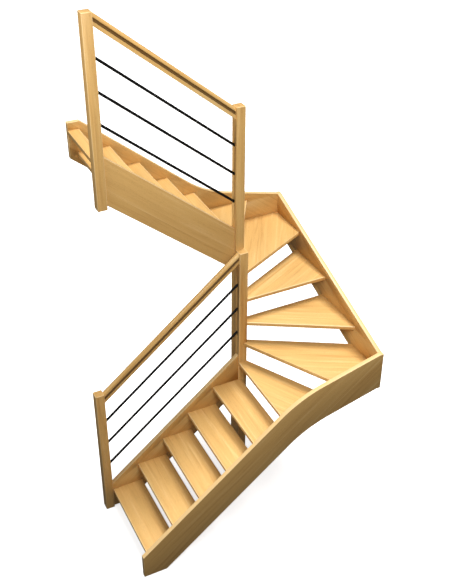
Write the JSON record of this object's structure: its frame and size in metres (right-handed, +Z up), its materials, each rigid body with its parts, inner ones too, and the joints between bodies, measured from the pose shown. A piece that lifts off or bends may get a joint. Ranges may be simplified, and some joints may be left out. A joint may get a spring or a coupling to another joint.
{
  "type": "double quarter-turn staircase",
  "caption": "Closed-string open-riser wooden staircase that turns back on itself over winders round a pair of centre newels, with handrails and steel tube infill on the inner side.",
  "frame": {"origin": "middle of the lower centre newel's foot, on the finished lower floor", "axes": "+X up the lower flight, +Y from the lower flight across to the upper flight, +Z up"},
  "size_m": [1.9135, 1.565, 3.8317],
  "materials": {
    "strings": "clear satin lacquer on light hardwood",
    "newels": "clear satin lacquer on light hardwood",
    "treads": "clear satin lacquer on light hardwood",
    "handrails": "clear satin lacquer on light hardwood",
    "tubes": "black powder coat on steel tube"
  },
  "bodies": {
    "root": {"front_string": "strings", "side_string": "strings", "back_string": "strings", "lower_inner_string": "strings", "upper_inner_string": "strings", "start_newel": "newels", "lower_centre_newel": "newels", "upper_centre_newel": "newels", "top_newel": "newels", "tread_01": "treads", "tread_02": "treads", "tread_03": "treads", "tread_04": "treads", "tread_05": "treads", "tread_06": "treads", "tread_07": "treads", "tread_08": "treads", "tread_09": "treads", "tread_10": "treads", "tread_11": "treads", "tread_12": "treads", "tread_13": "treads", "tread_14": "treads", "tread_15": "treads", "landing_tread": "treads", "lower_handrail": "handrails", "upper_handrail": "handrails", "lower_tube_1": "tubes", "lower_tube_2": "tubes", "lower_tube_3": "tubes", "upper_tube_1": "tubes", "upper_tube_2": "tubes", "upper_tube_3": "tubes"}
  },
  "joints": []
}
